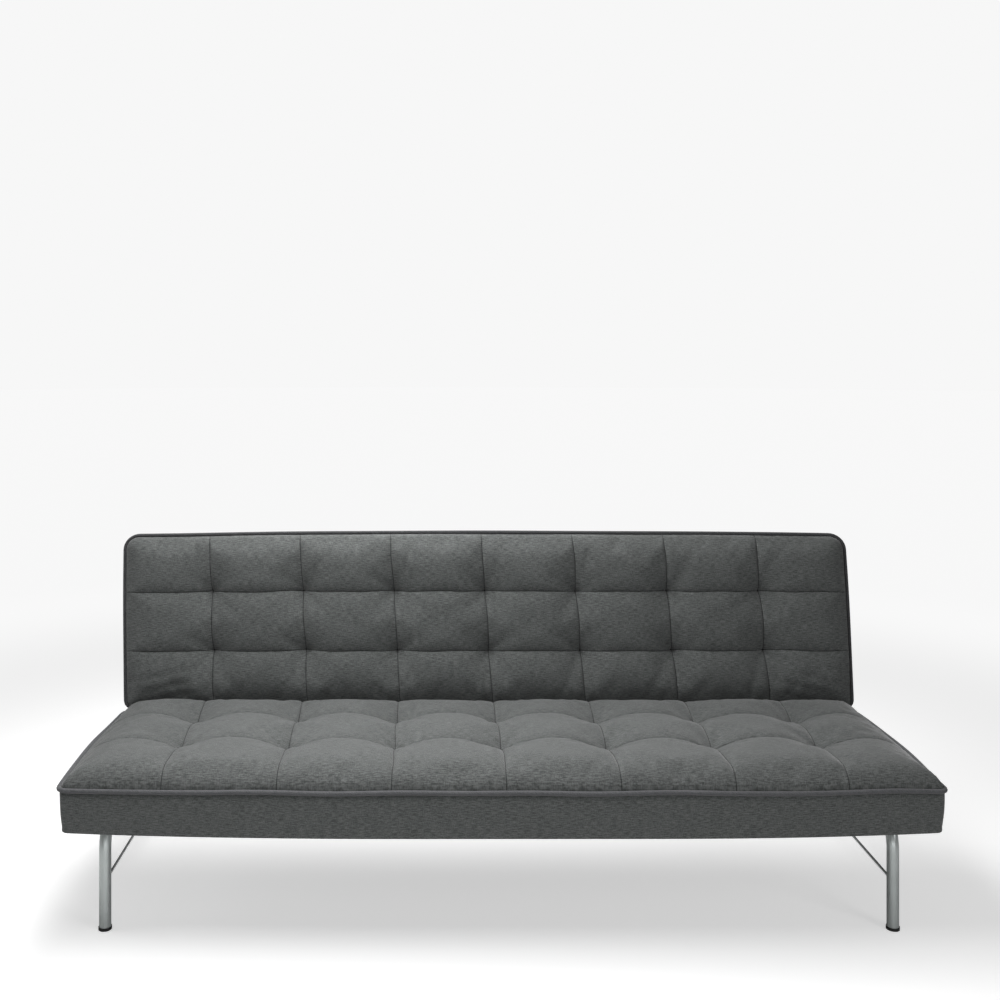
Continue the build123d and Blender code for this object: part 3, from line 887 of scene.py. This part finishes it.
def scuffs_group():
    """Thin rubbed scratches gathered in patches, for painted and plated metal."""
    inputs = (("Place", "NodeSocketVector", None), ("Amount", "NodeSocketFloat", 0.5))
    group, start, end = start_group("scuffs", inputs, (("Scuff", "NodeSocketFloat"),))
    place = start.outputs["Place"]
    scratch = noise(group, scaled(group, place, (900.0, 60.0, 140.0)), 1.0, 2.0, 0.5)
    lines = remap(group, scratch, 0.62, 0.74)
    patches = remap(group, noise(group, place, 9.0, 3.0, 0.6), 0.5, 0.7)
    marks = value(group, "MULTIPLY", lines, patches)
    worn = value(group, "MULTIPLY", marks, start.outputs["Amount"], clamp=True)
    group.links.new(worn, end.inputs["Scuff"])
    return group


GROUP_MAKERS = {
    "woven cloth": woven_cloth_group,
    "sewn seam": sewn_seam_group,
    "fine grain": fine_grain_group,
    "scuffs": scuffs_group,
}


def place_group(tree, name, **settings):
    """Put a shared group in a material with its own values."""
    node = tree.nodes.new("ShaderNodeGroup")
    node.node_tree = bpy.data.node_groups.get(name) or GROUP_MAKERS[name]()
    for socket, item in settings.items():
        feed(tree, node.inputs[socket], item)
    return node


def start_material(name, **constants):
    """A new material, with constants set on its shader's own sockets."""
    material = bpy.data.materials.new(name)
    material.use_nodes = True
    shader = material.node_tree.nodes["Principled BSDF"]
    for socket, number in constants.items():
        shader.inputs[socket.replace("_", " ")].default_value = number
    return material, material.node_tree, shader


def uv_vector(tree, layer):
    """The named UV layer."""
    node = tree.nodes.new("ShaderNodeUVMap")
    node.uv_map = layer
    return node.outputs["UV"]


def object_vector(tree):
    """Object coordinates, in metres."""
    return tree.nodes.new("ShaderNodeTexCoord").outputs["Object"]


def mix_colours(tree, factor, first, second):
    """A colour mixed between two; each is a socket or a plain colour."""
    node = tree.nodes.new("ShaderNodeMix")
    node.data_type = "RGBA"
    feed(tree, node.inputs["Factor"], factor)
    feed(tree, node.inputs[6], first)
    feed(tree, node.inputs[7], second)
    return node.outputs[2]


def tint(colour, share):
    """A colour made lighter or darker, up to white."""
    return [min(1.0, channel * share) for channel in colour]


def finish_shader(tree, shader, colour, rough, height, strength, distance):
    """Link the colour and roughness, and a Bump node into the shader's normal."""
    tree.links.new(colour, shader.inputs["Base Color"])
    tree.links.new(rough, shader.inputs["Roughness"])
    node = tree.nodes.new("ShaderNodeBump")
    node.inputs["Strength"].default_value = strength
    node.inputs["Distance"].default_value = distance
    tree.links.new(height, node.inputs["Height"])
    tree.links.new(node.outputs["Normal"], shader.inputs["Normal"])


def upholstery_material(look):
    """Grey melange weave with sewn seams, painted darker along each seam as the shade in its crease."""
    material, tree, shader = start_material(
        "grey melange weave", Sheen_Weight=0.30, Sheen_Roughness=0.45, Specular_IOR_Level=0.25
    )
    cloth = uv_vector(tree, "cloth")
    weave = place_group(tree, "woven cloth", Cloth=cloth, Thread=look.thread)
    seam = place_group(tree, "sewn seam", Cells=uv_vector(tree, "cells"), Cloth=cloth)
    yarn = mix_colours(tree, weave.outputs["Yarn"], look.weave_dark, look.weave_light)
    # painted shade: the seam line darkens the yarn almost to black, as the shade deep in the seam's crease
    painted_seam_shade = value(tree, "MULTIPLY", seam.outputs["Join"], 0.78)
    colour = mix_colours(tree, painted_seam_shade, yarn, tint(look.weave_dark, 0.22))
    rough = remap(tree, weave.outputs["Yarn"], 0.0, 1.0, 0.92, 0.80)
    pucker = value(tree, "MULTIPLY", seam.outputs["Pucker"], 0.6)
    sunk = value(tree, "MULTIPLY", seam.outputs["Join"], -3.0)
    height = value(tree, "ADD", value(tree, "ADD", weave.outputs["Height"], pucker), sunk)
    finish_shader(tree, shader, colour, rough, height, 0.55, 0.0004)
    return material


def piping_material(name, colour, thread):
    """Bias-cut cloth of the piping, darker than the face."""
    material, tree, shader = start_material(name, Sheen_Weight=0.2, Sheen_Roughness=0.5)
    turned = tree.nodes.new("ShaderNodeVectorRotate")
    turned.rotation_type = "Z_AXIS"
    turned.inputs["Angle"].default_value = math.radians(45)
    tree.links.new(uv_vector(tree, "cloth"), turned.inputs["Vector"])
    weave = place_group(tree, "woven cloth", Cloth=turned.outputs["Vector"], Thread=thread)
    yarn = mix_colours(tree, weave.outputs["Yarn"], tint(colour, 0.72), tint(colour, 1.3))
    rough = remap(tree, weave.outputs["Yarn"], 0.0, 1.0, 0.92, 0.8)
    finish_shader(tree, shader, yarn, rough, weave.outputs["Height"], 0.5, 0.0004)
    return material


def lining_material(look):
    """Black non-woven lining, bonded in small dots."""
    material, tree, shader = start_material("non-woven lining", Sheen_Weight=0.15)
    cloth = uv_vector(tree, "cloth")
    fibres = noise(tree, scaled(tree, cloth, (900.0, 500.0, 1.0)), 1.0, 5.0, 0.7)
    along, across, _ = parts(tree, cloth)
    turns = [value(tree, "MULTIPLY", run, math.tau / BOND_PITCH) for run in (along, across)]
    waves = [value(tree, "SINE", turn) for turn in turns]
    bonded = remap(tree, value(tree, "MULTIPLY", *waves), 0.45, 0.8)
    colour = mix_colours(tree, fibres, look.lining, tint(look.lining, 2.2))
    colour = mix_colours(tree, value(tree, "MULTIPLY", bonded, 0.5), colour, tint(look.lining, 0.6))
    rough = remap(tree, bonded, 0.0, 1.0, 0.9, 0.6)
    height = value(tree, "SUBTRACT", fibres, bonded)
    finish_shader(tree, shader, colour, rough, height, 0.4, 0.0003)
    return material


def painted_material(name, colour, metallic, roughness, wear_colour, wear, grain):
    """Powder paint over steel, with fine grain and rubbed places."""
    material, tree, shader = start_material(name)
    place = object_vector(tree)
    fine = place_group(tree, "fine grain", Place=place, Grain=grain)
    scuff = place_group(tree, "scuffs", Place=place, Amount=wear)
    cloudy = mix_colours(tree, fine.outputs["Cloud"], tint(colour, 0.9), tint(colour, 1.08))
    worn = mix_colours(tree, scuff.outputs["Scuff"], cloudy, wear_colour)
    shine = remap(tree, scuff.outputs["Scuff"], 0.0, 1.0, metallic, 1.0)
    tree.links.new(shine, shader.inputs["Metallic"])
    rough = remap(tree, fine.outputs["Cloud"], 0.3, 0.7, roughness - 0.05, roughness + 0.07)
    finish_shader(tree, shader, worn, rough, fine.outputs["Height"], 0.12, 0.0002)
    return material


def moulded_material(name, colour, roughness, grain):
    """Moulded plastic or rubber with a fine matte grain."""
    material, tree, shader = start_material(name, Specular_IOR_Level=0.4)
    fine = place_group(tree, "fine grain", Place=object_vector(tree), Grain=grain)
    cloudy = mix_colours(tree, fine.outputs["Cloud"], colour, tint(colour, 1.8))
    rough = remap(tree, fine.outputs["Cloud"], 0.3, 0.7, roughness - 0.06, roughness + 0.06)
    finish_shader(tree, shader, cloudy, rough, fine.outputs["Height"], 0.3, 0.0003)
    return material


def bare_steel_material(name, colour, roughness, stretch):
    """Bare drawn or plated steel, with fine lines along its length."""
    material, tree, shader = start_material(name, Metallic=1.0)
    place = object_vector(tree)
    lines = noise(tree, scaled(tree, place, stretch), 1.0, 3.0, 0.6)
    scuff = place_group(tree, "scuffs", Place=place, Amount=0.4)
    streaked = mix_colours(tree, lines, tint(colour, 0.82), tint(colour, 1.1))
    dulled = mix_colours(tree, scuff.outputs["Scuff"], streaked, tint(colour, 0.6))
    rough = remap(tree, lines, 0.3, 0.7, roughness - 0.07, roughness + 0.08)
    finish_shader(tree, shader, dulled, rough, lines, 0.1, 0.0002)
    return material


def timber_material():
    """Planed softwood with long growth rings."""
    material, tree, shader = start_material("planed softwood")
    place = object_vector(tree)
    rings = noise(tree, scaled(tree, place, (3.0, 60.0, 60.0)), 1.0, 4.0, 0.6)
    pores = noise(tree, scaled(tree, place, (40.0, 900.0, 900.0)), 1.0, 2.0, 0.5)
    colour = mix_colours(tree, remap(tree, rings, 0.35, 0.65), (0.50, 0.33, 0.17), (0.68, 0.50, 0.30))
    rough = remap(tree, pores, 0.3, 0.7, 0.55, 0.75)
    finish_shader(tree, shader, colour, rough, pores, 0.2, 0.0003)
    return material


def dress(piece, material):
    """Give a whole piece one material."""
    piece.data.materials.clear()
    piece.data.materials.append(material)


def dress_nodes(prefixes, material):
    """Give carried-over CAD nodes a finished material in their own slots."""
    found = [node for name, node in frame["nodes"].items() if name.startswith(prefixes)]
    if not found:
        raise RuntimeError(f"no frame node starts with {prefixes}")
    for node in found:
        for slot in node.material_slots:
            slot.material = material


# ---------------------------------------------------------------- operators


class SOFA_OT_seat_pad(bpy.types.Operator):
    """Make the tufted seat pad"""

    bl_idname = "sofa.seat_pad"
    bl_label = "Seat pad"

    def execute(self, context):
        pad = seat_pad_frame()
        piece = build_pad(pad, context.scene.sofa_tufting)
        dress(piece, upholstery_material(context.scene.sofa_fabric))
        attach(piece, "base")
        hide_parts("seat_foam", "seat_top_cover", "seat_band")
        return {"FINISHED"}


class SOFA_OT_back_pad(bpy.types.Operator):
    """Make the tufted back pad"""

    bl_idname = "sofa.back_pad"
    bl_label = "Back pad"

    def execute(self, context):
        pad = back_pad_frame()
        piece = build_pad(pad, context.scene.sofa_tufting)
        dress(piece, bpy.data.materials["grey melange weave"])
        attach(piece, "back")
        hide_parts("back_foam", "back_front_cover", "back_band")
        return {"FINISHED"}


class SOFA_OT_piping(bpy.types.Operator):
    """Make the piping of both pads, the back's in a copy at half brightness as painted shade"""

    bl_idname = "sofa.piping"
    bl_label = "Piping"

    def execute(self, context):
        look = context.scene.sofa_fabric
        # painted shade: the back's piping is the same cloth as the seat's, at half brightness
        for pad, body, painted_light_share in ((seat_pad_frame(), "base", 1.0), (back_pad_frame(), "back", 0.5)):
            piece = build_piping(pad)
            dress(piece, piping_material(f"{pad.name} piping", tint(look.piping, painted_light_share), look.thread))
            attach(piece, body)
            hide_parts(f"{pad.name}_piping")
        return {"FINISHED"}


class SOFA_OT_linings(bpy.types.Operator):
    """Make the linings of both pads and their staples"""

    bl_idname = "sofa.linings"
    bl_label = "Linings"

    def execute(self, context):
        cloth = lining_material(context.scene.sofa_fabric)
        wire = bare_steel_material("staple wire", (0.55, 0.55, 0.54), 0.35, (400.0, 400.0, 400.0))
        jobs = (
            (seat_pad_frame(), "base", "seat_dust_cover", "seat_lining"),
            (back_pad_frame(), "back", "back_rear_cover", "back_lining"),
        )
        for pad, body, node, name in jobs:
            sheet, flat = build_lining(pad, name)
            dress(sheet, cloth)
            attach(sheet, body)
            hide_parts(node)
            staples = build_staples(pad, f"{pad.name}_staples")
            dress(staples, wire)
            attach(staples, body)
        return {"FINISHED"}


class SOFA_OT_leg_frames(bpy.types.Operator):
    """Finish the leg tubes, stretchers, foot caps, rest pads and bolts"""

    bl_idname = "sofa.leg_frames"
    bl_label = "Leg frames"

    def execute(self, context):
        look = context.scene.sofa_metal
        bare = (0.60, 0.62, 0.62)
        paint = painted_material("satin silver paint", look.tube, 0.60, 0.34, bare, 0.45, 1400.0)
        dress_nodes(("leg_frame",), paint)
        rod = bare_steel_material("drawn rod", (0.66, 0.68, 0.68), 0.22, (900.0, 12.0, 900.0))
        dress_nodes(("stretcher_rod",), rod)
        plastic = moulded_material("black moulded plastic", (0.012, 0.012, 0.012), 0.5, 1800.0)
        dress_nodes(("foot_cap",), plastic)
        rubber = moulded_material("black rubber", (0.010, 0.010, 0.010), 0.78, 900.0)
        dress_nodes(("rest_pad",), rubber)
        zinc = bare_steel_material("zinc plate", (0.58, 0.60, 0.62), 0.34, (300.0, 300.0, 300.0))
        dress_nodes(("frame_bolts",), zinc)
        return {"FINISHED"}


class SOFA_OT_hinges(bpy.types.Operator):
    """Finish the ratchet hinges"""

    bl_idname = "sofa.hinges"
    bl_label = "Hinges"

    def execute(self, context):
        look = context.scene.sofa_metal
        paint = painted_material("black hinge paint", look.hinge, 0.0, 0.42, (0.35, 0.35, 0.35), 0.9, 1100.0)
        dress_nodes(("hinge_seat_plate", "hinge_back_arm", "hinge_pawl_left", "hinge_pawl_right"), paint)
        zinc = bpy.data.materials["zinc plate"]
        dress_nodes(("hinge_pin", "hinge_pawl_pin", "hinge_seat_bolts", "hinge_back_bolts"), zinc)
        spring = bare_steel_material("blued spring steel", (0.20, 0.22, 0.28), 0.3, (500.0, 20.0, 500.0))
        dress_nodes(("hinge_pawl_spring",), spring)
        return {"FINISHED"}


class SOFA_OT_timber(bpy.types.Operator):
    """Finish the rails and slats inside the pads"""

    bl_idname = "sofa.timber"
    bl_label = "Timber"

    def execute(self, context):
        wood = timber_material()
        rails = [name for name in frame["nodes"] if "rail" in name or "slats" in name]
        dress_nodes(tuple(rails), wood)
        return {"FINISHED"}


class SOFA_OT_studio(bpy.types.Operator):
    """Make the floor, backdrop, lights and camera"""

    bl_idname = "sofa.studio"
    bl_label = "Studio"

    def execute(self, context):
        scene = context.scene
        look = scene.sofa_studio
        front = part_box("seat_band")[0][1]
        camera = bpy.data.objects.new("camera", bpy.data.cameras.new("camera"))
        scene.collection.objects.link(camera)
        camera.location = (look.camera_side, front - look.camera_distance, look.camera_height)
        camera.rotation_euler = (math.radians(90), 0, 0)
        camera.data.sensor_width = 36.0
        camera.data.lens = look.field * camera.data.sensor_width
        camera.data.shift_x = look.shift_x
        camera.data.shift_y = look.shift_y
        scene.camera = camera
        build_floor(look)
        overhead = (-0.4, front + 0.40, 1.80)
        add_area_light("overhead light", overhead, (0.0, front + 0.32, 0.3), (2.6, 0.8), 52.0)
        add_area_light("low light", (0.3, front - 2.6, 0.10), (0.0, front, 0.26), (3.4, 0.5), 17.0)
        add_area_light("left light", (-3.2, front + 0.4, 1.5), (-0.4, 0.0, 0.35), (1.8, 1.8), 10.0)
        add_area_light("right light", (2.6, front - 2.2, 1.7), (0.6, 0.1, 0.55), (1.2, 1.2), 15.0)
        scene.world = build_world(look)
        scene.view_settings.view_transform = "Standard"
        return {"FINISHED"}


def build_world(look):
    """Even light from all round, seen as a pale backdrop."""
    world = bpy.data.worlds.new("studio")
    world.use_nodes = True
    tree = world.node_tree
    background = tree.nodes["Background"]
    background.inputs["Color"].default_value = (*look.backdrop, 1.0)
    seen = tree.nodes.new("ShaderNodeLightPath").outputs["Is Camera Ray"]
    strength = remap(tree, seen, 0.0, 1.0, look.ambient, 1.0)
    tree.links.new(strength, background.inputs["Strength"])
    return world


def build_floor(look):
    """Pale floor that fades into the backdrop away from the sofa."""
    half, rings = 40.0, 24
    vertices = [(0.0, 0.0, 0.0)]
    for index in range(rings):
        turn = math.tau * index / rings
        vertices.append((half * math.cos(turn), half * math.sin(turn), 0.0))
    faces = [(0, 1 + index, 1 + (index + 1) % rings) for index in range(rings)]
    floor = make_piece("floor", vertices, faces)
    material, tree, shader = start_material("pale floor", Roughness=0.85, Specular_IOR_Level=0.1)
    shader.inputs["Emission Color"].default_value = (1.0, 1.0, 1.0, 1.0)
    length = tree.nodes.new("ShaderNodeVectorMath")
    length.operation = "LENGTH"
    tree.links.new(object_vector(tree), length.inputs[0])
    far = remap(tree, length.outputs["Value"], 1.1, 4.0)
    tree.links.new(mix_colours(tree, far, look.floor, (0.0, 0.0, 0.0)), shader.inputs["Base Color"])
    seen = tree.nodes.new("ShaderNodeLightPath").outputs["Is Camera Ray"]
    lift = remap(tree, far, 0.0, 1.0, look.floor_glow, look.backdrop[0])
    tree.links.new(value(tree, "MULTIPLY", seen, lift), shader.inputs["Emission Strength"])
    dress(floor, material)
    return floor


def add_area_light(name, place, target, size, power):
    """A soft light aimed at a point."""
    data = bpy.data.lights.new(name, "AREA")
    data.shape = "RECTANGLE"
    data.size, data.size_y = size
    data.energy = power
    light = bpy.data.objects.new(name, data)
    bpy.context.scene.collection.objects.link(light)
    light.location = place
    direction = Vector(target) - Vector(place)
    light.rotation_euler = direction.to_track_quat("-Z", "Y").to_euler()


class SOFA_PT_panel(bpy.types.Panel):
    """Lists the pieces of the sofa bed"""

    bl_idname = "SOFA_PT_panel"
    bl_label = "Sofa bed"
    bl_space_type = "VIEW_3D"
    bl_region_type = "UI"
    bl_category = "Sofa bed"

    def draw(self, context):
        for operator in OPERATORS:
            self.layout.operator(operator.bl_idname)


OPERATORS = (
    SOFA_OT_seat_pad,
    SOFA_OT_back_pad,
    SOFA_OT_piping,
    SOFA_OT_linings,
    SOFA_OT_leg_frames,
    SOFA_OT_hinges,
    SOFA_OT_timber,
    SOFA_OT_studio,
)
PROPERTY_GROUPS = {
    "sofa_tufting": TuftingSizes,
    "sofa_fabric": FabricLook,
    "sofa_metal": MetalLook,
    "sofa_studio": StudioLook,
}


def register():
    """Register every class and attach the settings to the scene."""
    for settings in PROPERTY_GROUPS.values():
        bpy.utils.register_class(settings)
    for name, settings in PROPERTY_GROUPS.items():
        setattr(bpy.types.Scene, name, PointerProperty(type=settings))
    for operator in OPERATORS:
        bpy.utils.register_class(operator)
    bpy.utils.register_class(SOFA_PT_panel)


def unregister():
    """Remove every class and the settings."""
    bpy.utils.unregister_class(SOFA_PT_panel)
    for operator in reversed(OPERATORS):
        bpy.utils.unregister_class(operator)
    for name in PROPERTY_GROUPS:
        delattr(bpy.types.Scene, name)
    for settings in PROPERTY_GROUPS.values():
        bpy.utils.unregister_class(settings)


def main():
    """Make the whole sofa bed."""
    register()
    bpy.ops.sofa.seat_pad()
    bpy.ops.sofa.back_pad()
    bpy.ops.sofa.piping()
    bpy.ops.sofa.linings()
    bpy.ops.sofa.leg_frames()
    bpy.ops.sofa.hinges()
    bpy.ops.sofa.timber()
    bpy.ops.sofa.studio()


if __name__ == "__main__":
    main()
